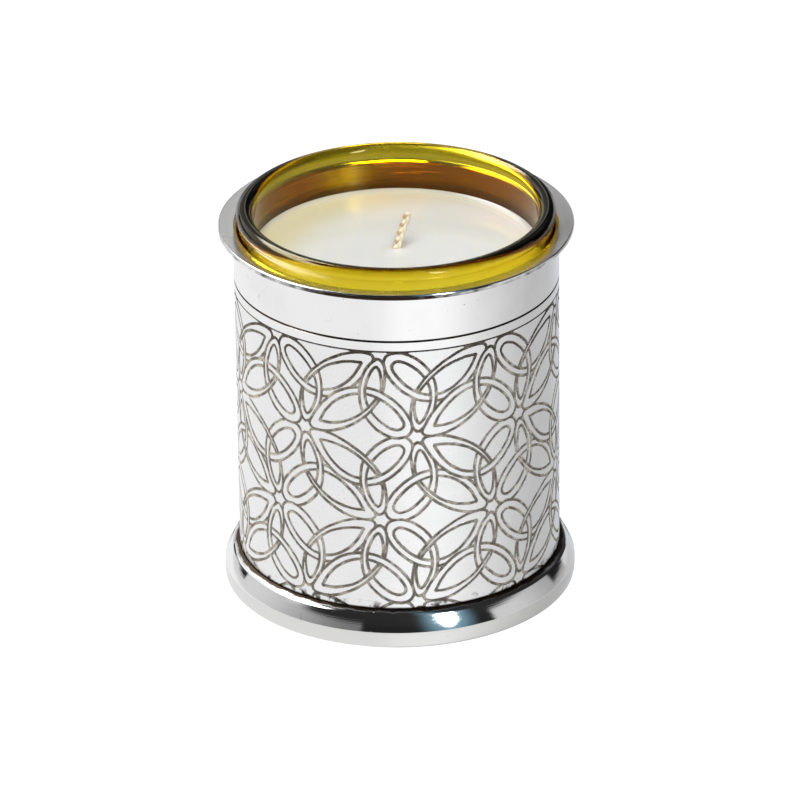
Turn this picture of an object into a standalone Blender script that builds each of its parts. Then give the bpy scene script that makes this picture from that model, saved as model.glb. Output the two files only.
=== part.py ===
"""Pewter votive lamp: a patterned pewter holder with a lift-out candle glass.

The origin is the centre of the foot's underside and +Z points up. All lengths are in metres.
The holder is four soldered pieces: the lip collar, the patterned sleeve, the foot ring and the base plate.
The candle glass stands on the base plate and holds the wax, the wick, its sustainer and its sticker.
"""

from math import cos, pi, radians, sin

import bpy

MM = 0.001
GAP = 0.3 * MM  # left between two pieces that touch or are soldered

# Driving sizes
BODY_RADIUS = 37.5 * MM
BODY_WALL = 1.0 * MM
LIP_RADIUS = 41.0 * MM
LIP_TOP = 89.6 * MM
FOOT_RADIUS = 41.1 * MM
FOOT_HEIGHT = 8.4 * MM
SLEEVE_TOP = 74.0 * MM  # where the plain collar meets the patterned sheet
RIM_TOP = 93.65 * MM
RIM_RADIUS = 36.8 * MM
WAX_TOP = 82.4 * MM
WICK_X, WICK_Y = 0.0 * MM, 0.6 * MM  # the wick stands a little behind the axis

SEGMENTS = 48  # round the main turned pieces
SMALL_SEGMENTS = 24  # round the sustainer and its sticker
SHARP_ANGLE = radians(35)
MERGE = 0.01 * MM

# Holder
BODY_BORE = BODY_RADIUS - BODY_WALL
LEDGE_Z = 6.6 * MM  # the foot ring's inner ledge, which carries the sleeve and the base plate
LEDGE_BORE = 34.5 * MM
LEDGE_THICKNESS = 1.6 * MM
FOOT_BORE = 36.6 * MM  # of the hollow under the ledge
FOOT_ROLL = 2.8 * MM  # section radius of the roll against the sleeve
FOOT_ROLL_AXIS = 37.06 * MM  # radius at which the centre of that section runs
FOOT_ROLL_TOP = 72  # degrees; its round section starts here at the sleeve
# Points (r, z) down the foot's side: the shoulder's lower end, the band's top and the band's widest place
FOOT_BAND = ((40.25 * MM, 5.9 * MM), (40.98 * MM, 4.2 * MM), (FOOT_RADIUS, 2.6 * MM))
FOOT_HEEL = 0.9 * MM
PLATE_THICKNESS = 1.5 * MM
PLATE_Z = LEDGE_Z + GAP
GROOVE_Z = 76.5 * MM  # the turned line above the pattern
GROOVE_HALF_WIDTH = 0.25 * MM
GROOVE_DEPTH = 0.25 * MM
LIP_HALF_THICKNESS = 0.65 * MM
LIP_SLOPE = 0.2 * MM  # how much lower the lip is at its inner edge
UNDER_LIP_FILLET = 1.0 * MM
THROAT_FILLET = 1.2 * MM

# Candle glass
GLASS_Z = PLATE_Z + PLATE_THICKNESS + GAP
GLASS_RADIUS = BODY_BORE - 0.4 * MM
GLASS_BORE = 33.0 * MM
GLASS_FLOOR = GLASS_Z + 8.0 * MM
GLASS_HEEL = 3.0 * MM  # outer rounding at the bottom
GLASS_INNER_HEEL = 2.5 * MM
GLASS_PUNT = 0.6 * MM  # how far the glass's underside is hollowed
GLASS_PUNT_EDGE = (24.0 * MM, 20.0 * MM)  # radii where that hollow starts and is full
GLASS_NECK = ((36.45 * MM, 90.0 * MM), (36.25 * MM, 88.3 * MM))  # swell under the rim
GLASS_SHOULDER_Z = 85.5 * MM  # below this the glass is a plain cylinder

# Candle
WICK_RADIUS = 1.05 * MM
WICK_LENGTH_ABOVE = 9.3 * MM
WICK_LEAN = 2.9 * MM
WICK_TILT = radians(17)  # of its top from the vertical
WICK_CURVE = 1.15  # 1 would lean it in a straight line
STICKER_RADIUS, STICKER_THICKNESS = 9.0 * MM, 1.0 * MM
STICKER_Z = GLASS_FLOOR + GAP
TAB_RADIUS, TAB_THICKNESS = 10.0 * MM, 0.4 * MM
TAB_Z = STICKER_Z + STICKER_THICKNESS + GAP
NECK_HEIGHT, NECK_WALL = 6.0 * MM, 0.4 * MM

MATERIALS = {
    # name: (colour, roughness, metallic, transmission)
    "pewter": ((0.78, 0.78, 0.77), 0.14, 1.0, 0.0),
    "amber_glass": ((0.80, 0.66, 0.02), 0.03, 0.0, 1.0),
    "wax": ((0.90, 0.88, 0.80), 0.30, 0.0, 0.0),
    "wick_cotton": ((0.82, 0.74, 0.56), 0.90, 0.0, 0.0),
    "tinplate": ((0.70, 0.70, 0.70), 0.30, 1.0, 0.0),
    "sticker_foam": ((0.92, 0.92, 0.90), 0.80, 0.0, 0.0),
}


def clear_scene():
    for obj in list(bpy.data.objects):
        bpy.data.objects.remove(obj)


def new_collection(name, hidden=False):
    collection = bpy.data.collections.new(name)
    collection.hide_render = hidden
    bpy.context.scene.collection.children.link(collection)
    return collection


def make_material(name):
    colour, roughness, metallic, transmission = MATERIALS[name]
    material = bpy.data.materials.new(name)
    material.use_nodes = True
    shader = material.node_tree.nodes["Principled BSDF"]
    shader.inputs["Base Color"].default_value = (*colour, 1.0)
    shader.inputs["Roughness"].default_value = roughness
    shader.inputs["Metallic"].default_value = metallic
    shader.inputs["Transmission Weight"].default_value = transmission
    return material


def arc(centre, radii, start, end, steps):
    """Points (r, z) along an elliptical arc in the profile plane; angles in degrees from +r towards +z."""
    points = []
    for i in range(steps + 1):
        angle = radians(start + (end - start) * i / steps)
        points.append((centre[0] + radii[0] * cos(angle), centre[1] + radii[1] * sin(angle)))
    return points


def turned(name, profile, segments=SEGMENTS):
    """A solid of revolution about Z. The profile runs down its outer side and back up its inner side."""
    open_on_axis = profile[0][0] == 0.0 and profile[-1][0] == 0.0
    vertices = [(r, 0.0, z) for r, z in profile]
    edges = [(i, i + 1) for i in range(len(profile) - 1)]
    if not open_on_axis:
        edges.append((len(profile) - 1, 0))
    mesh = bpy.data.meshes.new(name)
    mesh.from_pydata(vertices, edges, [])
    obj = bpy.data.objects.new(name, mesh)
    PARTS.objects.link(obj)
    screw = obj.modifiers.new("turn", "SCREW")
    screw.angle = 2 * pi
    screw.steps = screw.render_steps = segments
    screw.use_merge_vertices = True
    screw.merge_threshold = MERGE
    return obj


def settle(obj, material):
    """Turns the object's modifiers into its mesh, shades it and gives it its material."""
    bpy.context.view_layer.update()
    graph = bpy.context.evaluated_depsgraph_get()
    mesh = bpy.data.meshes.new_from_object(obj.evaluated_get(graph))
    obj.modifiers.clear()
    obj.data = mesh
    mesh.shade_smooth()
    mesh.set_sharp_from_angle(angle=SHARP_ANGLE)
    mesh.materials.clear()
    mesh.materials.append(material)
    return obj


def lip_collar():
    """Plain spun band with a flared lip, a turned line near its foot, and a butt edge below."""
    half = LIP_HALF_THICKNESS
    under = UNDER_LIP_FILLET
    throat = THROAT_FILLET
    edge_centre = (LIP_RADIUS - half, LIP_TOP - half)
    under_centre = (BODY_RADIUS + under, LIP_TOP - 2 * half - under)
    throat_centre = (BODY_BORE + throat, LIP_TOP - LIP_SLOPE - throat)
    bottom = SLEEVE_TOP + GAP / 2
    outer = (
        arc(edge_centre, (half, half), 90, -90, 6)
        + arc(under_centre, (under, under), 90, 180, 3)
        + [
            (BODY_RADIUS, GROOVE_Z + GROOVE_HALF_WIDTH),
            (BODY_RADIUS - GROOVE_DEPTH, GROOVE_Z),
            (BODY_RADIUS, GROOVE_Z - GROOVE_HALF_WIDTH),
            (BODY_RADIUS, bottom),
        ]
    )
    inner = [(BODY_BORE, bottom)] + arc(throat_centre, (throat, throat), 180, 90, 4)
    return turned("lip_collar", outer + inner)


def patterned_sleeve():
    """The rolled sheet that carries the knotwork; its lower end stands in the foot ring."""
    top = SLEEVE_TOP - GAP / 2
    profile = [(BODY_RADIUS, top), (BODY_RADIUS, PLATE_Z), (BODY_BORE, PLATE_Z), (BODY_BORE, top)]
    return turned("patterned_sleeve", profile)


def foot_ring():
    """Cast foot: a roll against the sleeve, a sloping shoulder and an upright band, hollow underneath."""
    socket = BODY_RADIUS + GAP
    roll, heel = FOOT_ROLL, FOOT_HEEL
    roll_centre = (FOOT_ROLL_AXIS, FOOT_HEIGHT - roll * sin(radians(FOOT_ROLL_TOP)))
    outer = (
        arc(roll_centre, (roll, roll), FOOT_ROLL_TOP, 42, 4)
        + list(FOOT_BAND)
        + arc((FOOT_RADIUS - heel, heel), (heel, heel), 0, -90, 3)
    )
    under_ledge = LEDGE_Z - LEDGE_THICKNESS
    inner = [(FOOT_BORE, 0.0), (FOOT_BORE, under_ledge), (LEDGE_BORE, under_ledge), (LEDGE_BORE, LEDGE_Z)]
    return turned("foot_ring", outer + inner + [(socket, LEDGE_Z)])


def base_plate():
    """Disc inside the sleeve's foot: the holder's floor, lying on the foot ring's ledge."""
    radius = BODY_BORE - GAP
    top = PLATE_Z + PLATE_THICKNESS
    return turned("base_plate", [(0.0, top), (radius, top), (radius, PLATE_Z), (0.0, PLATE_Z)])


def glass_cup():
    """Thick candle glass with a round fire-polished rim and a hollowed underside."""
    rim_half = (RIM_RADIUS - GLASS_BORE) / 2
    rim = arc((RIM_RADIUS - rim_half, RIM_TOP - rim_half), (rim_half, rim_half), 180, -20, 10)
    heel = arc((GLASS_RADIUS - GLASS_HEEL, GLASS_Z + GLASS_HEEL), (GLASS_HEEL, GLASS_HEEL), 0, -90, 4)
    inner_heel_centre = (GLASS_BORE - GLASS_INNER_HEEL, GLASS_FLOOR + GLASS_INNER_HEEL)
    inner_heel = arc(inner_heel_centre, (GLASS_INNER_HEEL, GLASS_INNER_HEEL), -90, 0, 3)
    punt_edge, punt_flat = GLASS_PUNT_EDGE
    profile = (
        [(0.0, GLASS_FLOOR)]
        + inner_heel
        + rim
        + [*GLASS_NECK, (GLASS_RADIUS, GLASS_SHOULDER_Z)]
        + heel
        + [(punt_edge, GLASS_Z), (punt_flat, GLASS_Z + GLASS_PUNT), (0.0, GLASS_Z + GLASS_PUNT)]
    )
    return turned("glass_cup", profile)


def wick_channel():
    """Cutter for the wax: the room that the sticker, the sustainer and the wick take up."""
    floor = GLASS_FLOOR - 5 * MM
    tab_top = TAB_Z + TAB_THICKNESS + GAP
    neck_top = TAB_Z + NECK_HEIGHT + GAP
    neck_radius = WICK_RADIUS + GAP + NECK_WALL + GAP
    profile = [
        (0.0, WAX_TOP + 5 * MM),
        (WICK_RADIUS + GAP, WAX_TOP + 5 * MM),
        (WICK_RADIUS + GAP, neck_top),
        (neck_radius, neck_top),
        (neck_radius, tab_top),
        (TAB_RADIUS + GAP, tab_top),
        (TAB_RADIUS + GAP, floor),
        (0.0, floor),
    ]
    cutter = turned("wick_channel", profile, SMALL_SEGMENTS)
    cutter.location = (WICK_X, WICK_Y, 0.0)
    PARTS.objects.unlink(cutter)
    CUTTERS.objects.link(cutter)
    cutter.hide_render = True
    cutter.display_type = "WIRE"
    return cutter


def wax_fill():
    """Wax poured round the wick, with a meniscus that climbs the glass a little."""
    radius = GLASS_BORE - GAP
    heel = GLASS_INNER_HEEL
    bottom = GLASS_FLOOR + GAP
    heel_points = arc((radius - heel, bottom + heel), (heel, heel), 0, -90, 4)
    profile = (
        [(0.0, WAX_TOP), (radius - 2.2 * MM, WAX_TOP), (radius - 0.9 * MM, WAX_TOP + 0.2 * MM)]
        + [(radius - 0.2 * MM, WAX_TOP + 0.7 * MM), (radius, WAX_TOP + 0.5 * MM)]
        + heel_points
        + [(0.0, bottom)]
    )
    wax = turned("wax_fill", profile)
    cut = wax.modifiers.new("channel", "BOOLEAN")
    cut.operation = "DIFFERENCE"
    cut.solver = "EXACT"
    cut.object = wick_channel()
    return wax


def wick():
    """Braided wick: straight up through the wax, then leaning over to +X above it."""
    straight = [(WICK_X, WICK_Y, TAB_Z + (WAX_TOP - TAB_Z) * i / 6) for i in range(7)]
    leaning = []
    steps = 9
    for i in range(1, steps + 1):
        along = i / steps
        rise = WICK_LENGTH_ABOVE * along * cos(WICK_TILT * along)
        leaning.append((WICK_X + WICK_LEAN * along**WICK_CURVE, WICK_Y, WAX_TOP + rise))
    points = straight + leaning
    curve = bpy.data.curves.new("wick", "CURVE")
    curve.dimensions = "3D"
    curve.bevel_depth = WICK_RADIUS
    curve.bevel_resolution = 2
    curve.use_fill_caps = True
    spline = curve.splines.new("POLY")
    spline.points.add(len(points) - 1)
    for point, place in zip(spline.points, points):
        point.co = (*place, 1.0)
    curve.materials.append(SLOT["wick_cotton"])
    obj = bpy.data.objects.new("wick", curve)
    PARTS.objects.link(obj)
    return obj


def wick_sustainer():
    """Tinplate tab whose neck grips the wick."""
    neck_bore = WICK_RADIUS + GAP
    neck_radius = neck_bore + NECK_WALL
    top = TAB_Z + TAB_THICKNESS
    profile = [
        (neck_radius, TAB_Z + NECK_HEIGHT),
        (neck_radius, top),
        (TAB_RADIUS, top),
        (TAB_RADIUS, TAB_Z),
        (neck_bore, TAB_Z),
        (neck_bore, TAB_Z + NECK_HEIGHT),
    ]
    tab = turned("wick_sustainer", profile, SMALL_SEGMENTS)
    tab.location = (WICK_X, WICK_Y, 0.0)
    return tab


def wick_sticker():
    """Double-sided foam disc that fixes the sustainer to the glass's floor."""
    top = STICKER_Z + STICKER_THICKNESS
    profile = [(0.0, top), (STICKER_RADIUS, top), (STICKER_RADIUS, STICKER_Z), (0.0, STICKER_Z)]
    sticker = turned("wick_sticker", profile, SMALL_SEGMENTS)
    sticker.location = (WICK_X, WICK_Y, 0.0)
    return sticker


clear_scene()
PARTS = new_collection("votive_lamp")
CUTTERS = new_collection("cutters", hidden=True)
SLOT = {name: make_material(name) for name in MATERIALS}

settle(lip_collar(), SLOT["pewter"])
settle(patterned_sleeve(), SLOT["pewter"])
settle(foot_ring(), SLOT["pewter"])
settle(base_plate(), SLOT["pewter"])
settle(glass_cup(), SLOT["amber_glass"])
settle(wax_fill(), SLOT["wax"])
settle(wick_sustainer(), SLOT["tinplate"])
settle(wick_sticker(), SLOT["sticker_foam"])
wick()
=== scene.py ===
"""The looks of a pewter votive lamp: engraved holder, yellow glass candle, wax and braided wick.

Lengths are in metres, written as millimetres times MM. The sleeve's pattern alone is worked out in
millimetres, on the unrolled sheet. Azimuths are in degrees from the camera's side (-Y), positive towards +X.
"""

from math import cos, exp, pi, radians, sin, sqrt, tau

import bmesh
import bpy
import numpy as np
from mathutils import Matrix, Vector, kdtree, noise
from mathutils.geometry import delaunay_2d_cdt


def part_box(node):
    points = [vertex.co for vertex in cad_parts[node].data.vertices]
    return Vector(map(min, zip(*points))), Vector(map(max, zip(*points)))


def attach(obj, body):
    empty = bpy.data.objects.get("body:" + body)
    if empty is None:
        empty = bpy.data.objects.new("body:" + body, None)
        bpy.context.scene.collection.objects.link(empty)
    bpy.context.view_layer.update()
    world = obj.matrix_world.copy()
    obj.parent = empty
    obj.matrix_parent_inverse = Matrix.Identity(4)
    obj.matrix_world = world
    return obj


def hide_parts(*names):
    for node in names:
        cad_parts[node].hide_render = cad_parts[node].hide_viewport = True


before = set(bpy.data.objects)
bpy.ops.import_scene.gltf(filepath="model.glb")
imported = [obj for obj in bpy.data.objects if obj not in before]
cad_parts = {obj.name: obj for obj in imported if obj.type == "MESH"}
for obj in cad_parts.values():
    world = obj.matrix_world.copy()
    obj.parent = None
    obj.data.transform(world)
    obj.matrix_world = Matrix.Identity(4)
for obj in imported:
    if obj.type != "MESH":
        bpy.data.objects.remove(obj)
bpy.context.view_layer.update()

MM = 0.001

# Sizes that the frame gives
SLEEVE_LOW, SLEEVE_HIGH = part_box("patterned_sleeve")
LIP_LOW, LIP_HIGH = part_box("lip_collar")
FOOT_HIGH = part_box("foot_ring")[1]
GLASS_LOW, GLASS_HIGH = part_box("glass_cup")
WAX_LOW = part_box("wax_fill")[0]
WICK_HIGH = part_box("wick")[1]
TAB_LOW, TAB_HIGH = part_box("wick_sustainer")
BODY_RADIUS = SLEEVE_HIGH.x
LIP_RADIUS = LIP_HIGH.x
FOOT_RADIUS = FOOT_HIGH.x
RIM_RADIUS = GLASS_HIGH.x
JOIN_Z = (SLEEVE_HIGH.z + LIP_LOW.z) / 2  # where the collar meets the sleeve

BODY_BORE = BODY_RADIUS - 1.0 * MM
GLASS_BORE = 33.0 * MM
GLASS_INNER_HEEL = 2.5 * MM  # rounding inside the glass's foot, which the wax fills
WAX_TOP = 82.0 * MM
SEGMENTS = 256  # round every turned piece
GUARD = 0.12 * MM  # keeps a flat's shading flat right up to the rounding beside it


# ---------------------------------------------------------------- mesh tools


def arc(centre, radii, start, end, steps):
    """Profile points (r, z) along an elliptical arc, in degrees from +r towards +z."""
    angles = np.radians(np.linspace(start, end, steps + 1))
    return [(centre[0] + radii[0] * cos(a), centre[1] + radii[1] * sin(a)) for a in angles]


def arc_on(start, radius, first, last, steps):
    """An arc that starts at a profile point, where its outward normal is at the first angle."""
    centre = (start[0] - radius * cos(radians(first)), start[1] - radius * sin(radians(first)))
    return arc(centre, (radius, radius), first, last, steps)


def guarded(profile):
    """Adds a point just inside both ends of each long straight stretch of a closed profile."""
    points = []
    for here, there in zip(profile, profile[1:] + profile[:1]):
        points.append(here)
        a, b = np.array(here), np.array(there)
        length = np.linalg.norm(b - a)
        if length > 6 * GUARD:
            step = (b - a) / length * GUARD
            points += [tuple(a + step), tuple(b - step)]
    return points


def in_scene(name, data):
    """A new object with that data, linked to the scene."""
    thing = bpy.data.objects.new(name, data)
    bpy.context.scene.collection.objects.link(thing)
    return thing


def smooth(mesh, sharp):
    """Smooth shading that breaks where two faces meet at more than that angle."""
    mesh.shade_smooth()
    mesh.set_sharp_from_angle(angle=radians(sharp))


def cleaned(mesh, merge):
    """Joins the mesh's points that are closer than merge, and turns its faces outward."""
    shell = bmesh.new()
    shell.from_mesh(mesh)
    bmesh.ops.remove_doubles(shell, verts=shell.verts, dist=merge)
    bmesh.ops.recalc_face_normals(shell, faces=shell.faces)
    shell.to_mesh(mesh)
    shell.free()


def turned(name, profile, material, sharp):
    """A solid of revolution about Z from a closed profile of (r, z) points; r = 0 closes it on the axis."""
    ring = guarded(profile)
    count = len(ring)
    vertices = []
    for s in range(SEGMENTS):
        angle = tau * s / SEGMENTS
        vertices += [(r * cos(angle), r * sin(angle), z) for r, z in ring]
    faces = []
    for s in range(SEGMENTS):
        here, there = s * count, (s + 1) % SEGMENTS * count
        for i in range(count):
            j = (i + 1) % count
            if ring[i][0] == 0 and ring[j][0] == 0:
                continue
            if ring[i][0] == 0:
                faces.append((here + i, here + j, there + j))
            elif ring[j][0] == 0:
                faces.append((here + i, here + j, there + i))
            else:
                faces.append((here + i, here + j, there + j, there + i))
    mesh = bpy.data.meshes.new(name)
    mesh.from_pydata(vertices, [], faces)
    cleaned(mesh, 0.0005 * MM)
    smooth(mesh, sharp)
    mesh.materials.append(material)
    return in_scene(name, mesh)


def store(mesh, name, values):
    """Gives each vertex a value that a material can read."""
    attribute = mesh.attributes.new(name, "FLOAT", "POINT")
    attribute.data.foreach_set("value", values)


def marked(piece, name, amount):
    """Stores amount(radius, azimuth, z) at each vertex."""
    values = []
    for vertex in piece.data.vertices:
        x, y, z = vertex.co
        values.append(float(amount(np.hypot(x, y), np.degrees(np.arctan2(x, -y)), z)))
    store(piece.data, name, values)


def near(azimuth, centre, spread):
    """1 at the centre's azimuth, fading on both sides."""
    return np.exp(-(((azimuth - centre) / spread) ** 2))


# ---------------------------------------------------------------- material tools


def new_material(name, **settings):
    """A material and its Principled shader, with the named sockets set."""
    material = bpy.data.materials.new(name)
    material.use_nodes = True
    shader = material.node_tree.nodes["Principled BSDF"]
    for socket, value in settings.items():
        shader.inputs[socket.replace("_", " ")].default_value = value
    return material, shader


def feed(shader, **outputs):
    """Links an output of another node to each named socket."""
    for socket, output in outputs.items():
        shader.id_data.links.new(output, shader.inputs[socket.replace("_", " ")])


def wire(tree, kind, inputs=None, **settings):
    """A node of that kind. An input that is a socket is linked, and any other value is set."""
    node = tree.nodes.new(kind)
    for key, value in settings.items():
        setattr(node, key, value)
    for key, value in (inputs or {}).items():
        if isinstance(value, bpy.types.NodeSocket):
            tree.links.new(value, node.inputs[key])
        else:
            node.inputs[key].default_value = value
    return node


def maths(tree, operation, first, second=0.0, third=0.0, clamp=False):
    inputs = {0: first, 1: second, 2: third}
    return wire(tree, "ShaderNodeMath", inputs, operation=operation, use_clamp=clamp).outputs[0]


def length_of(tree, x, y):
    """The length of the vector (x, y)."""
    squares = maths(tree, "MULTIPLY_ADD", x, x, maths(tree, "MULTIPLY", y, y))
    return maths(tree, "SQRT", squares)


def place(tree, stretch=(1, 1, 1)):
    """Object coordinates multiplied by stretch, so a texture reads longer along the small factors."""
    inputs = {"Vector": wire(tree, "ShaderNodeTexCoord").outputs["Object"], "Scale": stretch}
    return wire(tree, "ShaderNodeMapping", inputs).outputs[0]


def parts_of(tree, vector):
    return wire(tree, "ShaderNodeSeparateXYZ", {0: vector}).outputs


def noise_value(tree, scale, detail, stretch=(1, 1, 1)):
    inputs = {"Vector": place(tree, stretch), "Scale": scale, "Detail": detail}
    return wire(tree, "ShaderNodeTexNoise", inputs).outputs["Fac"]


def stored(tree, name):
    """The value that marked() or store() left at the mesh's vertices."""
    return wire(tree, "ShaderNodeAttribute", attribute_name=name).outputs["Fac"]


def between(tree, value, low, high, to_low=0.0, to_high=1.0):
    """Maps value from low..high to to_low..to_high with soft ends."""
    inputs = {"Value": value, 1: low, 2: high, 3: to_low, 4: to_high}
    return wire(tree, "ShaderNodeMapRange", inputs, interpolation_type="SMOOTHSTEP").outputs[0]


def mixed(tree, share, first, second):
    """A colour between first and second."""
    inputs = {"Factor": share, 6: first, 7: second}
    return wire(tree, "ShaderNodeMix", inputs, data_type="RGBA").outputs[2]


def bumped(tree, height, distance, normal=None):
    inputs = {"Height": height, "Distance": distance}
    if normal is not None:
        inputs["Normal"] = normal
    return wire(tree, "ShaderNodeBump", inputs).outputs[0]


# ---------------------------------------------------------------- materials

PEWTER = (0.87, 0.87, 0.875, 1.0)
PEWTER_DULL = (0.74, 0.735, 0.725, 1.0)
PEWTER_GREY = (0.45, 0.44, 0.42, 1.0)
PIT = (0.2, 0.19, 0.17, 1.0)
PATINA_PALE = (0.64, 0.59, 0.51, 1.0)
PATINA = (0.36, 0.325, 0.28, 1.0)
PATINA_DARK = (0.10, 0.088, 0.07, 1.0)
# near black, for painted shade and for soiling
SHADE_AND_DIRT = (0.035, 0.024, 0.016, 1.0)
TARNISH = (0.38, 0.14, 0.02, 1.0)
WAX, WAX_CLOUD = (0.86, 0.87, 0.86, 1.0), (0.80, 0.81, 0.79, 1.0)
# the wax in painted shade, tinted by the amber glass
AMBER_SHADED_WAX = (0.68, 0.66, 0.50, 1.0)
COTTON, COTTON_PALE = (0.98, 0.80, 0.55, 1.0), (0.99, 0.90, 0.74, 1.0)
MARK_BROWN = (0.40, 0.20, 0.07, 1.0)
GLASS_COLOUR = (0.962, 0.897, 0.05, 1.0)  # each millimetre absorbs with a coefficient of 1 minus this


def turned_pewter():
    """Bright pewter with the lathe's fine rings, small pits, and, where marked, soiling, tarnish, painted
    shade and a painted reflection.
    """
    material, shader = new_material("turned_pewter", Metallic=1.0)
    tree = material.node_tree
    rings = noise_value(tree, 4.0, 2.0, (12, 12, 1500))
    clouds = noise_value(tree, 90.0, 4.0)
    pit = between(tree, noise_value(tree, 1300.0, 1.0), 0.79, 0.84)
    dulled = between(tree, clouds, 0.45, 0.75, 0.0, 0.35)
    # Painted shade and soiling where marked as crevice, broken up by noise
    shade_and_dirt_noise = noise_value(tree, 330.0, 3.0)
    crevice = maths(tree, "MULTIPLY_ADD", shade_and_dirt_noise, 1.1, stored(tree, "crevice"))
    crevice = between(tree, crevice, 0.72, 1.35)
    satin, bore = stored(tree, "satin"), stored(tree, "bore")
    colour = mixed(tree, dulled, PEWTER, PEWTER_DULL)
    colour = mixed(tree, pit, colour, PIT)
    colour = mixed(tree, satin, colour, PEWTER_DULL)
    # The bore's tarnish, paler where a reflection of the lamp's glow is painted
    colour = mixed(tree, bore, colour, TARNISH)
    colour = mixed(tree, crevice, colour, SHADE_AND_DIRT)
    rough = maths(tree, "MULTIPLY_ADD", rings, 0.10, 0.02)
    for where, rougher in ((dulled, 0.12), (satin, 0.16), (crevice, 0.4)):
        rough = maths(tree, "MULTIPLY_ADD", where, rougher, rough)
    ridges = maths(tree, "MULTIPLY", noise_value(tree, 1.0, 1.0, (30, 30, 5000)), bore)
    normal = bumped(tree, rings, 0.012 * MM)
    normal = bumped(tree, ridges, 0.16 * MM, normal)
    normal = bumped(tree, pit, -0.03 * MM, normal)
    feed(shader, Base_Color=colour, Roughness=rough, Normal=normal)
    return material


def engraved_pewter():
    """The same metal rolled and rubbed; the engraved lines hold a dark patina, worn pale in places, and
    painted shade darkens the sheet's foot.
    """
    material, shader = new_material("engraved_pewter", Metallic=1.0)
    tree = material.node_tree
    groove = stored(tree, "groove")
    height = parts_of(tree, place(tree))[2]
    clouds = noise_value(tree, 110.0, 4.0)
    grain = noise_value(tree, 2200.0, 2.0)
    streaks = noise_value(tree, 4.0, 2.0, (10, 10, 900))
    tone = noise_value(tree, 420.0, 3.0)
    worn = maths(tree, "MULTIPLY_ADD", grain, 0.45, groove)
    worn = maths(tree, "SUBTRACT", worn, between(tree, clouds, 0.40, 0.70, 0.0, 0.22))
    filled = between(tree, worn, 0.25, 0.60)
    bright = mixed(tree, between(tree, clouds, 0.40, 0.80, 0.0, 0.25), PEWTER, PEWTER_DULL)
    # The patina is darkest near the collar and in the middle of each line
    patina = mixed(tree, between(tree, tone, 0.34, 0.56), PATINA_PALE, PATINA)
    core = between(tree, groove, 0.65, 1.0, 0.0, 0.45)
    core = maths(tree, "MULTIPLY", core, between(tree, tone, 0.42, 0.58))
    deep = between(tree, height, 64 * MM, 73 * MM, 0.0, 0.75)
    deep = maths(tree, "ADD", deep, between(tree, grain, 0.45, 0.75, 0.0, 0.5))
    deep = maths(tree, "ADD", deep, core, clamp=True)
    patina = mixed(tree, deep, patina, PATINA_DARK)
    # Painted contact shade, patchy, in the corner where the sheet stands in the foot
    contact_shade = between(tree, height, 11.2 * MM, 8.6 * MM)
    contact_shade = maths(tree, "MULTIPLY", contact_shade, between(tree, tone, 0.50, 0.62))
    contact_shade = maths(tree, "MAXIMUM", contact_shade, between(tree, height, 9.1 * MM, 8.6 * MM))
    colour = mixed(tree, contact_shade, mixed(tree, filled, bright, patina), SHADE_AND_DIRT)
    rough = maths(tree, "MULTIPLY_ADD", streaks, 0.12, 0.20)
    rough = maths(tree, "MULTIPLY_ADD", filled, 0.3, rough)
    nicks = maths(tree, "MULTIPLY", noise_value(tree, 1400.0, 1.0), filled)
    normal = bumped(tree, streaks, 0.010 * MM)
    normal = bumped(tree, clouds, 0.10 * MM, normal)
    normal = bumped(tree, nicks, 0.10 * MM, normal)
    feed(shader, Base_Color=colour, Roughness=rough, Normal=normal)
    return material


def dull_pewter():
    """Unpolished pewter of the base plate, with the rings of its facing cut."""
    material, shader = new_material("dull_pewter", Metallic=1.0)
    tree = material.node_tree
    flat = (1, 1, 0)
    inputs = {"Vector": place(tree, flat), "Scale": 420.0, "Distortion": 0.4, "Detail": 1.0}
    rings = wire(tree, "ShaderNodeTexWave", inputs, wave_type="RINGS", rings_direction="Z").outputs["Fac"]
    clouds = noise_value(tree, 120.0, 5.0, flat)
    feed(
        shader,
        Base_Color=mixed(tree, clouds, PEWTER_DULL, PEWTER_GREY),
        Roughness=between(tree, clouds, 0.3, 0.7, 0.28, 0.5),
        Normal=bumped(tree, rings, 0.03 * MM),
    )
    return material


def amber_glass():
    """Yellow-olive glass: the colour deepens to brown with the length of glass looked through."""
    material, shader = new_material(
        "amber_glass", Base_Color=(1.0, 1.0, 1.0, 1.0), Transmission_Weight=1.0, IOR=1.51,
        Specular_Tint=(1.0, 0.85, 0.42, 1.0),
    )
    tree = material.node_tree
    ripple = noise_value(tree, 60.0, 1.0, (1, 1, 0.5))
    smear = noise_value(tree, 200.0, 3.0)
    feed(
        shader,
        Roughness=between(tree, smear, 0.5, 0.9, 0.0, 0.06),
        Normal=bumped(tree, ripple, 0.05 * MM),
    )
    absorb = wire(tree, "ShaderNodeVolumeAbsorption", {"Color": GLASS_COLOUR, "Density": 1 / MM})
    feed(tree.nodes["Material Output"], Volume=absorb.outputs[0])
    return material


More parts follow.
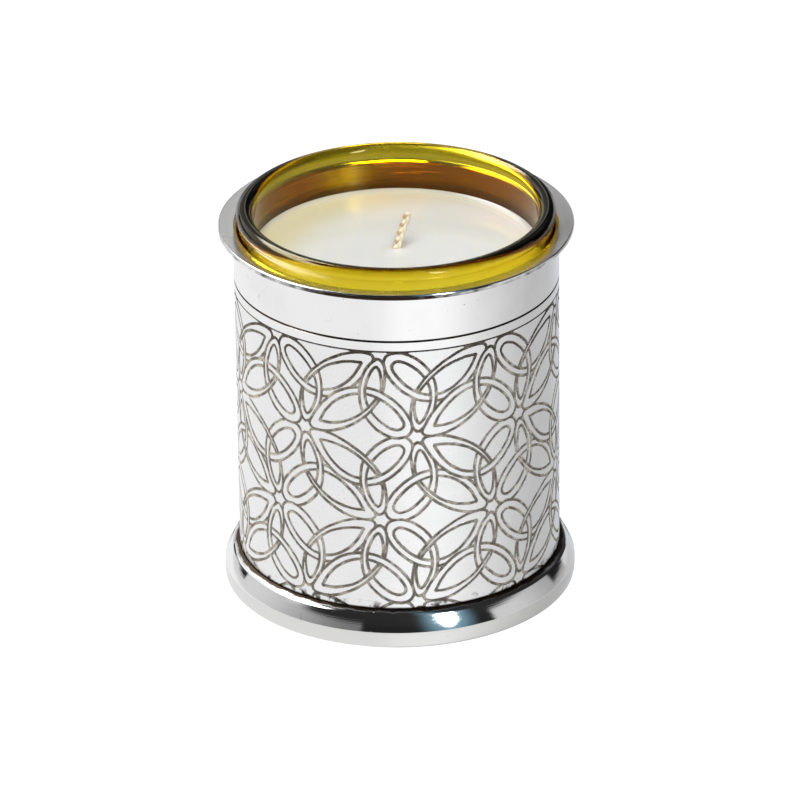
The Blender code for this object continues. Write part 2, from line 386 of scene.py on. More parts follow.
def candle_wax():
    """Ivory wax with a slight gloss, faint clouds and a finely pitted skin, with painted shade tinted by the
    amber glass at the back left.
    """
    material, shader = new_material(
        "candle_wax", Subsurface_Weight=0.6, Subsurface_Scale=4 * MM, IOR=1.44,
        Subsurface_Radius=(1.0, 0.85, 0.6),
    )
    tree = material.node_tree
    clouds = noise_value(tree, 55.0, 4.0)
    skin = noise_value(tree, 900.0, 2.0)
    x, y, _ = parts_of(tree, place(tree))
    # Painted shade, tinted by the amber glass, grows with the distance from this point towards the back left
    from_lit_middle = length_of(tree, maths(tree, "ADD", x, -8 * MM), maths(tree, "ADD", y, 6 * MM))
    colour = mixed(tree, clouds, WAX, WAX_CLOUD)
    colour = mixed(tree, between(tree, from_lit_middle, 27 * MM, 39 * MM), colour, AMBER_SHADED_WAX)
    feed(
        shader,
        Base_Color=colour,
        Roughness=between(tree, clouds, 0.3, 0.7, 0.08, 0.16),
        Normal=bumped(tree, clouds, 0.15 * MM, bumped(tree, skin, 0.004 * MM)),
    )
    return material


def waxed_cotton():
    """Cream cotton yarn soaked in wax, brown where it is marked."""
    material, shader = new_material(
        "waxed_cotton", Subsurface_Weight=0.5, Subsurface_Scale=0.6 * MM, IOR=1.44,
        Subsurface_Radius=(1.0, 0.9, 0.75),
    )
    tree = material.node_tree
    fibres = noise_value(tree, 7000.0, 3.0, (1, 1, 0.25))
    cream = mixed(tree, fibres, COTTON, COTTON_PALE)
    feed(
        shader,
        Base_Color=mixed(tree, stored(tree, "brown_marks"), cream, MARK_BROWN),
        Roughness=between(tree, fibres, 0.2, 0.8, 0.45, 0.8),
        Normal=bumped(tree, fibres, 0.03 * MM),
    )
    return material


def grained(name, grain, colours, roughness, bump, **settings):
    """A material whose colour, roughness and bump all follow one noise: (scale, detail, stretch)."""
    material, shader = new_material(name, **settings)
    tree = material.node_tree
    value = noise_value(tree, *grain)
    feed(
        shader,
        Base_Color=mixed(tree, value, *colours),
        Roughness=between(tree, value, 0.3, 0.7, *roughness),
        Normal=bumped(tree, value, bump),
    )
    return material


def tinplate():
    colours = (0.62, 0.62, 0.62, 1.0), (0.76, 0.76, 0.75, 1.0)
    return grained("tinplate", (4.0, 3.0, (20, 900, 20)), colours, (0.22, 0.4), 0.01 * MM, Metallic=1.0)


def sticker_foam():
    colours = (0.84, 0.84, 0.80, 1.0), (0.93, 0.93, 0.90, 1.0)
    return grained("sticker_foam", (2500.0, 2.0), colours, (0.7, 0.9), 0.05 * MM)


# ---------------------------------------------------------------- holder

LIP_HALF = 0.65 * MM  # half the lip's thickness
LIP_ROLL = 0.7 * LIP_HALF  # how far the lip's rounded edge stands out
UNDER_LIP = 0.9 * MM
THROAT = 1.2 * MM  # rounding between the bore and the lip
THROAT_DROP = 0.35 * MM
LINE_Z, LINE_HALF, LINE_DEPTH = 76.5 * MM, 0.28 * MM, 0.24 * MM  # the turned line above the pattern
COLLAR_EDGE = 0.22 * MM
CREVICE_ROUND = 1.15 * MM  # how far out over the foot's roll the soiling and painted shade reach


def lip_collar(material):
    """Plain band with a thin flared lip, one turned line, and a rounded foot that meets the sleeve."""
    top = LIP_HIGH.z
    profile = arc((LIP_RADIUS - LIP_ROLL, top - LIP_HALF), (LIP_ROLL, LIP_HALF), 75, -90, 16)
    under = (BODY_RADIUS + UNDER_LIP, top - 2 * LIP_HALF - UNDER_LIP)
    profile += arc(under, (UNDER_LIP, UNDER_LIP), 90, 180, 10)
    for rise, cut in ((1, 0), (0.9, 0.1), (0, 1), (-0.9, 0.1), (-1, 0)):
        profile.append((BODY_RADIUS - cut * LINE_DEPTH, LINE_Z + rise * LINE_HALF))
    profile += arc((BODY_RADIUS - COLLAR_EDGE, JOIN_Z + COLLAR_EDGE), (COLLAR_EDGE, COLLAR_EDGE), 0, -90, 5)
    profile += [(BODY_BORE, JOIN_Z)]
    profile += arc((BODY_BORE + THROAT, top - THROAT_DROP - THROAT), (THROAT, THROAT), 180, 105, 10)
    collar = turned("lip_collar_spun", profile, material, sharp=35)
    outside = BODY_BORE + 0.1 * MM

    def crevice(radius, azimuth, z):
        """Painted shade under the lip, darkest at the front, and dark patina in the turned line and along the
        collar's lower edge.
        """
        if radius > BODY_RADIUS + LINE_DEPTH and z < top - 0.55 * LIP_HALF:
            return 0.3 + 0.7 * near(azimuth, -8, 28)
        in_line = radius < BODY_RADIUS - 0.05 * LINE_DEPTH and abs(z - LINE_Z) < LINE_HALF
        return radius > outside and (in_line or z < JOIN_Z + 0.95 * COLLAR_EDGE)

    def bore_tarnish_and_glow(radius, azimuth, z):
        """Brown tarnish inside the bore, with a painted reflection of the lamp's glow making one patch at the
        back left paler.
        """
        return (radius < outside) * (1 - 0.65 * near(azimuth, -160, 10))

    def satin(radius, azimuth, z):
        """The lip's flat top."""
        return z > top - LIP_HALF and radius < LIP_RADIUS - LIP_HALF / 2

    marked(collar, "bore", bore_tarnish_and_glow)
    marked(collar, "satin", satin)
    marked(collar, "crevice", crevice)
    return collar


def foot_ring(material):
    """Foot with a roll against the sleeve, a polished sloping shoulder and a satin upright band."""
    roll, roll_centre = 2.83 * MM, (BODY_RADIUS - 0.44 * MM, 5.66 * MM)
    shoulder = (FOOT_RADIUS - 1.94 * MM, 7.55 * MM)
    ledge, ledge_thickness, ledge_bore, foot_bore = 6.6 * MM, 1.6 * MM, 34.5 * MM, 36.6 * MM
    profile = [(BODY_RADIUS + 0.03 * MM, 8.0 * MM)]
    profile += arc(roll_centre, (roll, roll), 79, 42, 12)
    profile += arc_on(shoulder, 16 * MM, 35.5, 22, 8)
    profile += arc_on(profile[-1], 1.0 * MM, 22, 5, 5)[1:]
    profile += arc_on(profile[-1], 14 * MM, 5, -8, 8)[1:]
    heel = profile[-1][1] / (1 - sin(radians(8)))  # so that the heel's rounding ends on the table
    profile += arc_on(profile[-1], heel, -8, -90, 8)[1:]
    profile += [(foot_bore, 0.0), (foot_bore, ledge - ledge_thickness), (ledge_bore, ledge - ledge_thickness)]
    profile += [(ledge_bore, ledge), (BODY_RADIUS + 0.02 * MM, ledge)]
    foot = turned("foot_ring_cast", profile, material, sharp=35)

    def crevice(radius, azimuth, z):
        """Soiling and painted shade in the corner beside the sleeve, thinning out over the roll."""
        out = (radius - BODY_RADIUS - 0.25 * MM) / CREVICE_ROUND
        return np.clip(1.15 - out, 0, 1) if z > ledge - 0.1 * MM else 0.0

    marked(foot, "satin", lambda radius, azimuth, z: z < 4.05 * MM)
    marked(foot, "crevice", crevice)
    return foot


# One knot of the pattern: two engraved lines, each a closed curve through these points, in mm from the
# knot's centre. They run round its leaf (on the left), its narrow loop (below) and its round loop (right).
OUTER_LINE = [
    (-7.95, 9.35), (-7.3, 10.25), (-4.6, 10.55), (-1.0, 9.7), (3.5, 7.3), (7.0, 4.2), (9.5, 0.4),
    (10.5, -4.2), (10.25, -7.8), (9.05, -9.15), (7.2, -7.9), (5.45, -4.9), (4.6, -0.6), (5.25, 4.1),
    (7.6, 7.7), (10.6, 10.0), (13.5, 10.75), (15.85, 9.95), (16.6, 7.9), (15.3, 4.5), (12.1, 0.9),
    (8.3, -1.35), (4.0, -1.75), (-0.6, -0.1), (-4.7, 3.7), (-7.0, 7.2),
]
INNER_LINE = [
    (-5.25, 8.15), (-2.6, 8.1), (0.4, 7.4), (3.4, 6.0), (6.3, 3.5), (8.6, 0.6), (9.65, -2.0),
    (9.6, -4.6), (9.15, -6.5), (8.6, -7.2), (7.9, -6.7), (6.8, -4.7), (5.95, -1.9), (6.0, 1.0),
    (7.0, 3.8), (9.2, 6.5), (11.8, 8.3), (13.7, 8.6), (14.75, 7.5), (14.1, 5.6), (11.6, 2.6),
    (8.5, 0.5), (5.2, -0.25), (1.8, 0.5), (-1.2, 2.4), (-3.6, 5.1),
]
# Where the lines turn back at the loops' ends: leaf, narrow loop, round loop
OUTER_TIPS, INNER_TIPS = (0, 9, 17), (0, 9, 18)

# Sizes on the unrolled sheet, in mm
KNOT_PERIOD = 26.8
ROW_LOW, ROW_HIGH = 31.35, 52.45  # two rows of stars; the knots fill the band between them
KNOT_CENTRE = (-13.45, (ROW_LOW + ROW_HIGH) / 2)
TIP_CLEAR = 3.0  # no strand passes under another this close to a tip
GROOVE_HALF, GROOVE_DEPTH = 0.43, 0.20
WANDER = 0.07  # how far the hand engraving strays
LINE_STEP = 0.65  # between points along an engraved line
SHEET_HALF = pi * BODY_RADIUS / MM  # half the unrolled sheet's length
SHEET_LOW, SHEET_TOP = SLEEVE_LOW.z / MM, JOIN_Z / MM
LATTICE = 2.0  # spacing of the points that keep the plain areas round
TOP_BEVEL = 0.25  # rounding of the sleeve's upper edge
SEAM_HALF = 0.35  # half the width of the soldered seam at the back
SEAM_DEPTH, SEAM_PATINA, BEVEL_PATINA = 0.05, 0.35, 0.7
TOUCH = 0.0001  # heights on the sheet closer than this are the same


def closed_curve(points, corners, fine=30):
    """Centripetal Catmull-Rom curve through the points; at a corner its tangent breaks."""
    p = np.array(points, float)
    count = len(p)
    curve = []
    for i in range(count):
        a, b, c, d = p[i - 1], p[i], p[(i + 1) % count], p[(i + 2) % count]
        if i in corners:
            a = 2 * b - c
        if (i + 1) % count in corners:
            d = 2 * c - b
        t1 = np.linalg.norm(b - a) ** 0.5
        t2 = t1 + np.linalg.norm(c - b) ** 0.5
        t3 = t2 + np.linalg.norm(d - c) ** 0.5
        for t in np.linspace(t1, t2, fine, endpoint=False):
            ab = a + (b - a) * t / t1
            bc = b + (c - b) * (t - t1) / (t2 - t1)
            cd = c + (d - c) * (t - t2) / (t3 - t2)
            abc = ab + (bc - ab) * t / t2
            bcd = bc + (cd - bc) * (t - t1) / (t3 - t1)
            curve.append(abc + (bcd - abc) * (t - t1) / (t2 - t1))
    return np.array(curve), fine


def strands(points, tips, corners):
    """The curve cut at its three tips: leaf to narrow loop, narrow to round loop, round loop to leaf."""
    curve, fine = closed_curve(points, corners)
    cuts = [t * fine for t in tips] + [len(curve)]
    looped = np.vstack([curve, curve[:1]])
    return [looped[a : b + 1] for a, b in zip(cuts, cuts[1:])]


def inside(points, outline):
    """Which points lie inside a closed outline."""
    x, y = points[:, :1], points[:, 1:]
    x1, y1 = outline[:, 0], outline[:, 1]
    x2, y2 = np.roll(x1, -1), np.roll(y1, -1)
    with np.errstate(divide="ignore", invalid="ignore"):
        hits = ((y1 > y) != (y2 > y)) & (x < (x2 - x1) * (y - y1) / (y2 - y1) + x1)
    return hits.sum(1) % 2 == 1


def runs(points, keep, least=4):
    """The stretches of at least that many points where keep holds."""
    edges = np.flatnonzero(np.diff(np.concatenate([[0], keep.astype(int), [0]])))
    return [points[a:b] for a, b in zip(edges[::2], edges[1::2]) if b - a >= least]


def knot_lines():
    """The visible engraved lines of one knot, with each strand stopped where it passes under another."""
    outer = strands(OUTER_LINE, OUTER_TIPS, ())
    inner = strands(INNER_LINE, INNER_TIPS, (0,))
    bands = [np.vstack([o, i[::-1]]) for o, i in zip(outer, inner)]
    tips = np.array([OUTER_LINE[t] for t in OUTER_TIPS])
    visible = []
    for k in range(3):
        over = bands[k - 1]  # each strand passes under the one before it
        for line in (outer[k], inner[k]):
            from_tips = np.linalg.norm(line[:, None] - tips, axis=2).min(1)
            hidden = inside(line, over) & (from_tips > TIP_CLEAR)
            visible += runs(line, ~hidden)
    return visible


def band_lines():
    """The lines of one period of a band of knots, in mm from a knot's centre.

    Each knot has a twin turned half round. Where the two touch they share one line.
    """
    knot = knot_lines()
    outline = closed_curve(OUTER_LINE, ())[0]
    lines = list(knot)
    for line in knot:
        twin = -line
        covered = np.zeros(len(twin), bool)
        for shift in (-KNOT_PERIOD, 0, KNOT_PERIOD):
            covered |= inside(twin, outline + np.array([shift, 0]))
        lines += runs(twin, ~covered)
    return lines


def pattern_lines():
    """Every engraved line on the unrolled sheet, in mm: u round the body and z up."""
    low, high = SHEET_LOW + GROOVE_HALF, SHEET_TOP
    edge = SHEET_HALF - SEAM_HALF - GROOVE_HALF
    half_band = (ROW_HIGH - ROW_LOW) / 2
    repeats = int(SHEET_HALF / KNOT_PERIOD) + 2
    lines = []
    for line in band_lines():
        clear = abs(line[:, 1]) < half_band
        for shift in range(-repeats, repeats + 1):
            for band in range(-2, 3):
                # Odd bands are upside down, and they keep the lines that neighbouring bands share.
                flip = -1 if band % 2 else 1
                offset = KNOT_CENTRE + np.array([shift * KNOT_PERIOD, band * 2 * half_band])
                for part in [line] if band % 2 else runs(line, clear):
                    copy = part * np.array([1, flip]) + offset
                    on_sheet = (abs(copy[:, 0]) < edge) & (copy[:, 1] > low) & (copy[:, 1] < high)
                    lines += runs(copy, on_sheet)
    return lines


def spaced(line, step):
    """The line with its points about a step apart, both ends kept."""
    along = np.concatenate([[0], np.cumsum(np.linalg.norm(np.diff(line, axis=0), axis=1))])
    count = max(2, int(round(along[-1] / step)) + 1)
    marks = np.linspace(0, along[-1], count)
    return np.stack([np.interp(marks, along, line[:, i]) for i in (0, 1)], 1)


def wander(line):
    """The small unevenness of hand engraving."""
    moved = line.copy()
    for i, (u, z) in enumerate(line):
        for axis, layer in enumerate((3.0, 9.0)):
            moved[i, axis] += WANDER * noise.noise(Vector((u * 0.5, z * 0.5, layer)))
    return moved


def groove_profile(distance):
    """At a distance from a line's middle (mm): depth as a share of the full depth, slope, and patina."""
    t = min(distance / GROOVE_HALF, 1.0)
    return (1 + cos(pi * t)) / 2, sin(pi * t) * pi / 2 / GROOVE_HALF, 1 - t * t


def sheet_triangles(lines):
    """Triangulates the unrolled sheet along the engraved lines and both sides of each."""
    points, edges = [], []

    def add(path):
        start = len(points)
        points.extend(Vector((float(u), float(z))) for u, z in path)
        edges.extend((i, i + 1) for i in range(start, len(points) - 1))

    for line in lines:
        tangent = np.gradient(line, axis=0)
        tangent /= np.linalg.norm(tangent, axis=1)[:, None]
        side = np.stack([-tangent[:, 1], tangent[:, 0]], 1)
        for share in (-1, -0.5, 0, 0.5, 1):
            path = line + side * share * GROOVE_HALF
            for part in runs(path, path[:, 1] < SHEET_TOP - TOP_BEVEL - 0.05, least=2):
                add(part)
    columns = np.linspace(-SHEET_HALF, SHEET_HALF, 2 * SEGMENTS + 1)
    rows = np.arange(SHEET_LOW, SHEET_TOP, LATTICE)[1:]
    for z in (SHEET_LOW, SHEET_TOP - TOP_BEVEL):
        add([(u, z) for u in columns])
    for u in (-SHEET_HALF, SEAM_HALF - SHEET_HALF, SHEET_HALF - SEAM_HALF, SHEET_HALF):
        add([(u, z) for z in [SHEET_LOW, *rows[:-1], SHEET_TOP - TOP_BEVEL]])
    for u in np.arange(-SHEET_HALF + LATTICE, SHEET_HALF - LATTICE / 2, LATTICE):
        points.extend(Vector((float(u), float(z))) for z in rows[:-1])
    result = delaunay_2d_cdt(points, edges, [], 0, 1e-5, False)
    return np.array([tuple(v) for v in result[0]]), result[2]


def bearing(u):
    """The angle from +X, in radians, of a place u along the unrolled sheet."""
    return u / (SHEET_HALF / pi) - pi / 2


def engraved_face():
    """The outer face: flat points, triangles, and each point's place, normal and patina when rolled."""
    lines = [wander(spaced(line, LINE_STEP)) for line in pattern_lines()]
    flat, triangles = sheet_triangles(lines)
    marks = np.vstack([spaced(line, LINE_STEP / 6) for line in lines])
    tree = kdtree.KDTree(len(marks))
    for i, (u, z) in enumerate(marks):
        tree.insert((u, z, 0), i)
    tree.balance()
    vertices, normals, groove = [], [], []
    for u, z in flat:
        closest, _, distance = tree.find((u, z, 0))
        share, slope, patina = groove_profile(distance)
        cut = GROOVE_DEPTH * (1 + 0.25 * noise.noise(Vector((u * 0.3, z * 0.3, 0))))
        seam = abs(u) > SHEET_HALF - 0.01
        depth = SEAM_DEPTH if seam else cut * share
        angle = bearing(u)
        out = Vector((cos(angle), sin(angle), 0))
        round_way = Vector((-sin(angle), cos(angle), 0))
        vertices.append(out * (BODY_RADIUS - depth * MM) + Vector((0, 0, z * MM)))
        away = Vector((0, 0))
        if distance > 0.02:
            away = Vector((u - closest[0], z - closest[1])) / distance
        tilt = -cut * slope
        normal = out + round_way * (away[0] * tilt) + Vector((0, 0, away[1] * tilt))
        normals.append(normal.normalized())
        groove.append(SEAM_PATINA if seam else patina)
    return flat, triangles, vertices, normals, groove


def engraved_sleeve(material):
    """The rolled sheet: the engraved outer face, a rounded top edge, a soldered seam and a plain bore."""
    flat, triangles, vertices, normals, groove = engraved_face()
    top, bevel = JOIN_Z, TOP_BEVEL * MM
    by_u = sorted(range(len(flat)), key=lambda i: flat[i][0])
    top_edge = [i for i in by_u if flat[i][1] > SHEET_TOP - TOP_BEVEL - TOUCH]
    low_edge = [i for i in by_u if flat[i][1] < SHEET_LOW + TOUCH]

    def ring(radius, z, like, patina=0.0):
        """Adds a ring of points in line with an edge's, and returns their numbers."""
        start = len(vertices)
        for i in like:
            angle = bearing(flat[i][0])
            vertices.append(Vector((radius * cos(angle), radius * sin(angle), z)))
            groove.append(patina)
        return list(range(start, len(vertices)))

    rings = [top_edge]
    for step in (30, 60, 90):
        a = radians(step)
        inward, height = bevel * (1 - cos(a)), top - bevel + bevel * sin(a)
        rings.append(ring(BODY_RADIUS - inward, height, top_edge, BEVEL_PATINA))
    rings += [ring(BODY_BORE, top, top_edge), ring(BODY_BORE, SLEEVE_LOW.z, low_edge), low_edge]
    faces = [tuple(t) for t in triangles]
    for a, b in zip(rings, rings[1:]):
        faces += [(a[i], a[i + 1], b[i + 1], b[i]) for i in range(len(a) - 1)]
    mesh = bpy.data.meshes.new("knotwork_sleeve")
    mesh.from_pydata(vertices, [], faces)
    store(mesh, "groove", groove)
    mesh.materials.append(material)
    mesh.shade_smooth()
    cleaned(mesh, 0.002 * MM)
    mesh.set_sharp_from_angle(angle=radians(75))
    # The engraved face is given its exact normals, so that the polish between the lines stays even.
    exact = kdtree.KDTree(len(flat))
    for i in range(len(flat)):
        exact.insert(vertices[i], i)
    exact.balance()
    mesh_normals = [tuple(v.vector) for v in mesh.vertex_normals]
    for v in mesh.vertices:
        _, i, distance = exact.find(v.co)
        inside_edges = SLEEVE_LOW.z + 0.01 * MM < v.co.z < JOIN_Z - 0.21 * MM
        if distance < 0.003 * MM and inside_edges:
            mesh_normals[v.index] = tuple(normals[i])
    mesh.normals_split_custom_set_from_vertices(mesh_normals)
    return in_scene("knotwork_sleeve", mesh)


# ---------------------------------------------------------------- candle


def candle_glass(material):
    """Thick glass with a round fire-polished rim, a slight swell under it, and a heavy rounded foot."""
    top, low = GLASS_HIGH.z, GLASS_LOW.z
    wall, floor = BODY_BORE - 0.4 * MM, low + 8.0 * MM
    rim = (RIM_RADIUS - GLASS_BORE) / 2
    heel, inner_heel, punt = 3.0 * MM, GLASS_INNER_HEEL, 0.6 * MM
    profile = [(0.0, floor)]
    profile += arc((GLASS_BORE - inner_heel, floor + inner_heel), (inner_heel, inner_heel), -90, 0, 10)
    profile += arc((GLASS_BORE + rim, top - rim), (rim, rim), 180, -25, 36)
    profile += [(36.45 * MM, 90.0 * MM), (36.28 * MM, 88.4 * MM), (36.15 * MM, 86.6 * MM), (wall, 84.5 * MM)]
    profile += arc((wall - heel, low + heel), (heel, heel), 0, -90, 10)
    profile += [(24.0 * MM, low), (20.0 * MM, low + punt), (0.0, low + punt)]
    return turned("candle_glass", profile, material, sharp=60)


def wax_pour(material):
    """The wax: it climbs at the glass and round the wick, and dips slightly between them."""
    radius, heel = GLASS_BORE - 0.05 * MM, GLASS_INNER_HEEL
    low, top = WAX_LOW.z, WAX_TOP
    profile = []
    for r in [0.0, 0.7 * MM, 1.4 * MM, 2.1 * MM, 2.8 * MM, *np.linspace(4 * MM, radius - 2.4 * MM, 20)]:
        climb = 0.45 * MM * exp(-((r / (2.0 * MM)) ** 2))  # where it clings to the wick
        profile.append((float(r), top + climb + 0.12 * MM * (float(r) / radius) ** 2))
    for inward, rise in ((1.2, 0.22), (0.5, 0.5), (0.1, 0.95), (0, 0.9)):  # against the glass
        profile.append((radius - inward * MM, top + rise * MM))
    profile += arc((radius - heel, low + heel), (heel, heel), 0, -90, 8)
    profile += [(0.0, low)]
    return turned("wax_pour", profile[::-1], material, sharp=60)


def pocketed(wax):
    """Cuts the room for the sustainer and its sticker out of the wax's underside."""
    centre = (TAB_LOW + TAB_HIGH) / 2
    radius = TAB_HIGH.x - centre.x + 0.1 * MM
    bottom, top = WAX_LOW.z - MM, TAB_LOW.z + 0.6 * MM
    shell = bmesh.new()
    bmesh.ops.create_cone(
        shell, cap_ends=True, segments=96, radius1=radius, radius2=radius, depth=top - bottom,
        matrix=Matrix.Translation((centre.x, centre.y, (bottom + top) / 2)),
    )
    mesh = bpy.data.meshes.new("pocket")
    shell.to_mesh(mesh)
    shell.free()
    cutter = in_scene("pocket", mesh)
    cut = wax.modifiers.new("pocket", "BOOLEAN")
    cut.object, cut.operation, cut.solver = cutter, "DIFFERENCE", "EXACT"
    bpy.context.view_layer.update()
    graph = bpy.context.evaluated_depsgraph_get()
    result = bpy.data.meshes.new_from_object(wax.evaluated_get(graph))
    wax.modifiers.clear()
    wax.data = result
    smooth(result, 60)
    bpy.data.objects.remove(cutter)
    return wax


WICK_X, WICK_Y = (TAB_LOW.x + TAB_HIGH.x) / 2, (TAB_LOW.y + TAB_HIGH.y) / 2
WICK_ABOVE = WICK_HIGH.z - WAX_TOP
WICK_LEAN, WICK_CURVE = 2.9 * MM, 1.15  # a curve of 1 would lean it in a straight line
BRAID_PITCH = 6.3 * MM
BRAID_HALF_WIDTH, BRAID_HALF_DEPTH, PLY_RADIUS = 0.52 * MM, 0.28 * MM, 0.54 * MM
PLY_SIDES, PLY_STEP = 10, 0.22 * MM
MARK_TURN, MARK_HALF, MARK_MOST = radians(300), radians(24), 0.65


def wick_line(z):
    """The wick's centre at a height: upright in the wax, leaning over to +X above it."""
    rise = max(0.0, z - WAX_TOP) / WICK_ABOVE
    return Vector((WICK_X + WICK_LEAN * rise**WICK_CURVE, WICK_Y, z))


def braided_wick(material):
    """A flat plait of three plies, drawn together and rounded at the top."""
    low, high = TAB_LOW.z + 0.1 * MM, WICK_HIGH.z - 0.15 * MM
    count = int((high - low) / PLY_STEP)
    vertices, faces, brown_marks = [], [], []
    for ply in range(3):
        centres, turns = [], []
        for i in range(count + 1):
            z = low + (high - low) * i / count
            turn = tau * ((z + 0.8 * MM) / BRAID_PITCH + ply / 3)
            closing = min(1.0, 0.35 + (high - z) / (1.2 * MM))
            across = BRAID_HALF_WIDTH * sin(turn) * closing
            forward = BRAID_HALF_DEPTH * sin(2 * turn) * closing
            centres.append(wick_line(z) + Vector((across, forward, 0)))
            turns.append(turn % tau)
        start = len(vertices)
        for i, centre in enumerate(centres):
            ahead = centres[min(i + 1, count)] - centres[max(i - 1, 0)]
            ahead.normalize()
            right = ahead.cross(Vector((0, 1, 0))).normalized()
            front = right.cross(ahead)
            to_tip = min(1.0, (count - i) * PLY_STEP / PLY_RADIUS)
            rounding = max(0.35, sqrt(1 - (1 - to_tip) ** 2))
            for s in range(PLY_SIDES):
                a = tau * s / PLY_SIDES
                swell = PLY_RADIUS * (1 + 0.06 * sin(3 * a + i * 0.8)) * rounding
                vertices.append(centre + right * (swell * cos(a)) + front * (swell * sin(a)))
                brown_marks.append(brown_mark_share(turns[i], sin(a), centre))
            if i:
                n = start + (i - 1) * PLY_SIDES
                for s in range(PLY_SIDES):
                    t = (s + 1) % PLY_SIDES
                    faces.append((n + s, n + PLY_SIDES + s, n + PLY_SIDES + t, n + t))
        last = start + count * PLY_SIDES
        faces.append(tuple(range(start, start + PLY_SIDES)))
        faces.append(tuple(range(last + PLY_SIDES - 1, last - 1, -1)))
    mesh = bpy.data.meshes.new("braided_wick")
    mesh.from_pydata(vertices, [], faces)
    store(mesh, "brown_marks", brown_marks)
    smooth(mesh, 60)
    mesh.materials.append(material)
    return in_scene("braided_wick", mesh)


def brown_mark_share(turn, backward, centre):
    """How brown a ply is: most where it comes forward at the wick's left side."""
    off = (turn - MARK_TURN) / MARK_HALF
    mottle = 0.15 * noise.noise(centre * 2500)
    return max(0.0, min(MARK_MOST, (1 - off * off) * (0.3 - backward) + mottle))


# ---------------------------------------------------------------- stage


SOFTBOX = 10.5  # brightness of the large soft box, where the white table is 1
COOL_TABLE = (0.72, 0.77, 0.82, 1.0)
LAMP_CORE, LAMP_HALO = (12.0, 12.6, 13.0, 1.0), (0.20, 0.36, 0.46, 1.0)
LAMP_AZIMUTH, LAMP_HEIGHT = 32, 36  # of its centre, in degrees
LAMP_WIDTH, LAMP_RISE = 8, 22  # from its centre to its soft edge, in degrees


def studio_world():
    """What the polished metal mirrors: a pale table below, cards at the sides, a dark room above the camera.

    Angles are in degrees. Azimuth 0 is the camera's side, and it grows towards +X.
    """
    world = bpy.data.worlds.new("studio")
    bpy.context.scene.world = world
    world.use_nodes = True
    tree = world.node_tree
    x, y, z = parts_of(tree, wire(tree, "ShaderNodeTexCoord").outputs["Generated"])
    azimuth = maths(tree, "ARCTAN2", x, maths(tree, "MULTIPLY", y, -1.0))
    behind = maths(tree, "ABSOLUTE", azimuth)
    height = maths(tree, "ARCSINE", z)

    def both(first, second):
        return maths(tree, "MULTIPLY", first, second)

    def either(first, second):
        return maths(tree, "MAXIMUM", first, second)

    def step(value, start, end, low=0.0, high=1.0):
        return between(tree, value, radians(start), radians(end), low, high)

    def window(value, start, end, soft):
        """1 between two angles, falling to 0 over soft degrees outside."""
        return both(step(value, start - soft, start), step(value, end, end + soft, 1.0, 0.0))

    def grey(value):
        return (value, value, value, 1.0)

    # The table: white, greyer on the right, cool at the back right, and dark right behind
    table = mixed(tree, step(azimuth, 30, 116), grey(0.96), grey(0.57))
    table = mixed(tree, window(azimuth, 8, 26, 30), table, grey(1.10))
    table = mixed(tree, step(azimuth, 128, 180), table, COOL_TABLE)
    table = mixed(tree, step(behind, 173, 176), table, grey(0.15))
    # Low walls of the set: grey by the camera's left, paler further round, a pale card on the right
    walls = mixed(tree, step(azimuth, -110, -30), grey(0.72), grey(0.20))
    walls = mixed(tree, window(azimuth, 62, 180, 1), walls, grey(0.67))
    walls = mixed(tree, step(azimuth, 74, 116, 0.0, 0.6), walls, grey(0.25))
    walls = mixed(tree, window(azimuth, -25, 61, 1), walls, grey(0.018))
    right_gap = both(window(azimuth, 114, 132, 1), step(height, 1, 4))
    walls = mixed(tree, right_gap, walls, grey(0.012))
    back_right = mixed(tree, step(height, 2, 5), grey(0.72), grey(0.03))
    walls = mixed(tree, step(azimuth, 131, 133), walls, back_right)
    left_gap = both(window(azimuth, -150, -120, 1), window(height, 4, 11, 1))
    walls = mixed(tree, left_gap, walls, grey(0.02))
    # Above them: a dark room with a faint glow on the right and one large soft box over the left
    glow = both(window(azimuth, 136, 158, 8), step(height, 16, 26))
    upper = mixed(tree, glow, grey(0.025), grey(0.14))
    low_left = both(step(azimuth, -112, -118), step(height, 12, 14))
    over_left = either(low_left, both(step(azimuth, -62, -84), step(height, 23, 28)))
    lit = both(over_left, step(height, 56, 61, 1.0, 0.0))
    low_box = mixed(tree, step(azimuth, -150, -160), grey(1.04), grey(0.3))
    box = mixed(tree, both(step(height, 34, 40), step(azimuth, -171, -161)), low_box, grey(SOFTBOX))
    upper = mixed(tree, lit, upper, box)
    far_back = both(step(behind, 169, 173), step(height, 44, 36))
    pale_back = mixed(tree, step(azimuth, -1, 1), grey(0.24), grey(0.68))
    upper = mixed(tree, far_back, upper, pale_back)
    upper = mixed(tree, both(step(behind, 169, 173), step(height, 36, 44)), upper, grey(0.03))
    high = either(step(height, 22, 30), either(lit, both(far_back, step(height, 8, 12))))
    sky = mixed(tree, high, walls, upper)
    colour = mixed(tree, step(height, -6, -2), table, sky)
    # The small bluish lamp beside the camera, round and soft at its edge
    across = maths(tree, "MULTIPLY_ADD", azimuth, 1 / radians(LAMP_WIDTH), -LAMP_AZIMUTH / LAMP_WIDTH)
    upright = maths(tree, "MULTIPLY_ADD", height, 1 / radians(LAMP_RISE), -LAMP_HEIGHT / LAMP_RISE)
    off_centre = length_of(tree, across, upright)
    lamp = mixed(tree, between(tree, off_centre, 0.9, 0.45), LAMP_HALO, LAMP_CORE)
    colour = mixed(tree, between(tree, off_centre, 2.8, 0.8), colour, lamp)
    # Nothing pale shows edge-on behind the glass's rim
    edge_on = both(step(behind, 160, 167), window(height, -18, 1, 3))
    colour = mixed(tree, edge_on, colour, grey(0.05))
    feed(tree.nodes["Background"], Color=colour)
    world.cycles_visibility.diffuse = False  # matt surfaces are lit by the two lamps alone


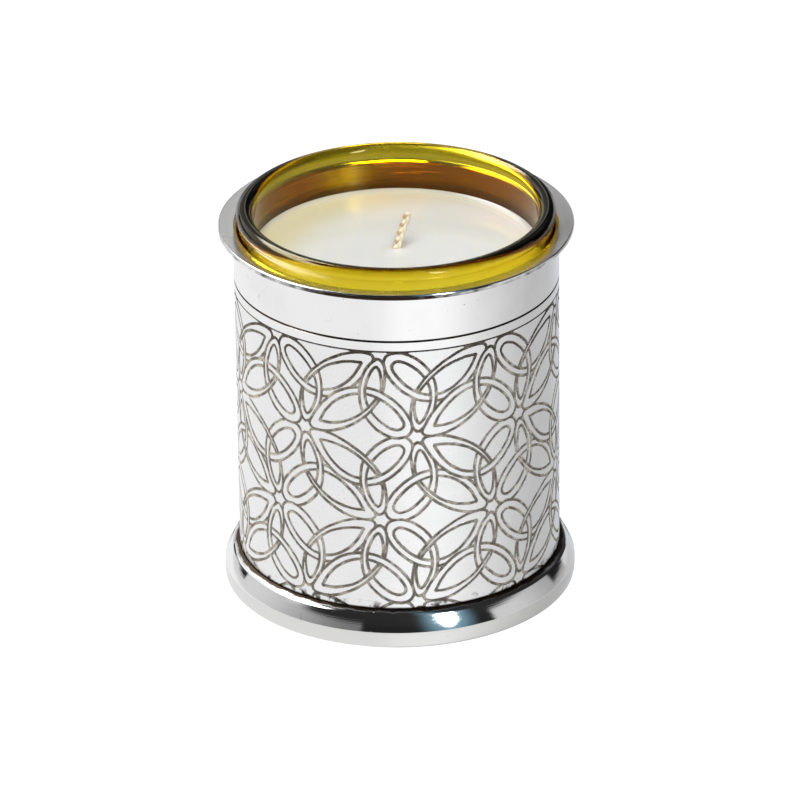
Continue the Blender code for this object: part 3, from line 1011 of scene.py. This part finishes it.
def softbox(name, location, target, size, power):
    """A lamp for the matt surfaces, which the metal and the glass don't mirror."""
    light = bpy.data.lights.new(name, "AREA")
    light.shape = "RECTANGLE"
    light.size, light.size_y = size
    light.energy = power
    lamp = in_scene(name, light)
    lamp.location = location
    lamp.rotation_euler = (Vector(target) - Vector(location)).to_track_quat("-Z", "Y").to_euler()
    lamp.visible_glossy = False


def pale_floor():
    """A white sheet under the lamp. The metal mirrors the world's table instead of it."""
    half, z = 2.5, -0.2 * MM
    corners = [(-half, -half, z), (half, -half, z), (half, half, z), (-half, half, z)]
    mesh = bpy.data.meshes.new("floor")
    mesh.from_pydata(corners, [], [(0, 1, 2, 3)])
    material, _ = new_material(
        "white_paper", Base_Color=(0.25, 0.25, 0.25, 1), Roughness=0.9, Specular_IOR_Level=0.0,
        Emission_Color=(1, 1, 1, 1), Emission_Strength=0.96,
    )
    mesh.materials.append(material)
    floor = in_scene("floor", mesh)
    floor.visible_glossy = False


def add_camera():
    """A long lens, 26 degrees above the lamp's middle, rolled a little."""
    data = bpy.data.cameras.new("camera")
    data.lens, data.sensor_width = 312.5, 36.0
    data.clip_start, data.clip_end = 0.1, 20.0
    camera = in_scene("camera", data)
    distance, elevation, roll = 1.615, radians(26.0), radians(-0.676)
    target = Vector((0.43 * MM, 0.0, 43.68 * MM))
    camera.location = target + distance * Vector((0, -cos(elevation), sin(elevation)))
    look = (target - camera.location).to_track_quat("-Z", "Y").to_matrix()
    camera.rotation_euler = (look @ Matrix.Rotation(roll, 3, "Z")).to_euler()
    bpy.context.scene.camera = camera


# ---------------------------------------------------------------- the lamp

add_camera()
pale_floor()
studio_world()
softbox("back_light", (-0.22, 1.10, 0.66), (0, 0, 0.08), (0.16, 0.12), 1.6)
softbox("top_light", (0.0, -0.8, 1.1), (0, 0, 0.05), (0.8, 0.8), 20.5)

bright = turned_pewter()
pieces = [
    # piece, body, CAD node that it stands for, material slot
    (lip_collar(bright), "holder", "lip_collar", "pewter_polished"),
    (engraved_sleeve(engraved_pewter()), "holder", "patterned_sleeve", "pewter_engraved"),
    (foot_ring(bright), "holder", "foot_ring", "pewter_polished"),
    (candle_glass(amber_glass()), "candle", "glass_cup", "amber_glass"),
    (pocketed(wax_pour(candle_wax())), "candle", "wax_fill", "wax"),
    (braided_wick(waxed_cotton()), "candle", "wick", "wick_cotton"),
]
for piece, body, node, slot in pieces:
    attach(piece, body)
    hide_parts(node)

# CAD pieces that stay as they are, with new materials
kept = [("base_plate", dull_pewter()), ("wick_sustainer", tinplate()), ("wick_sticker", sticker_foam())]
for node, material in kept:
    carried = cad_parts[node]
    carried.data.materials.clear()
    carried.data.materials.append(material)

bpy.context.scene.view_settings.view_transform = "Standard"
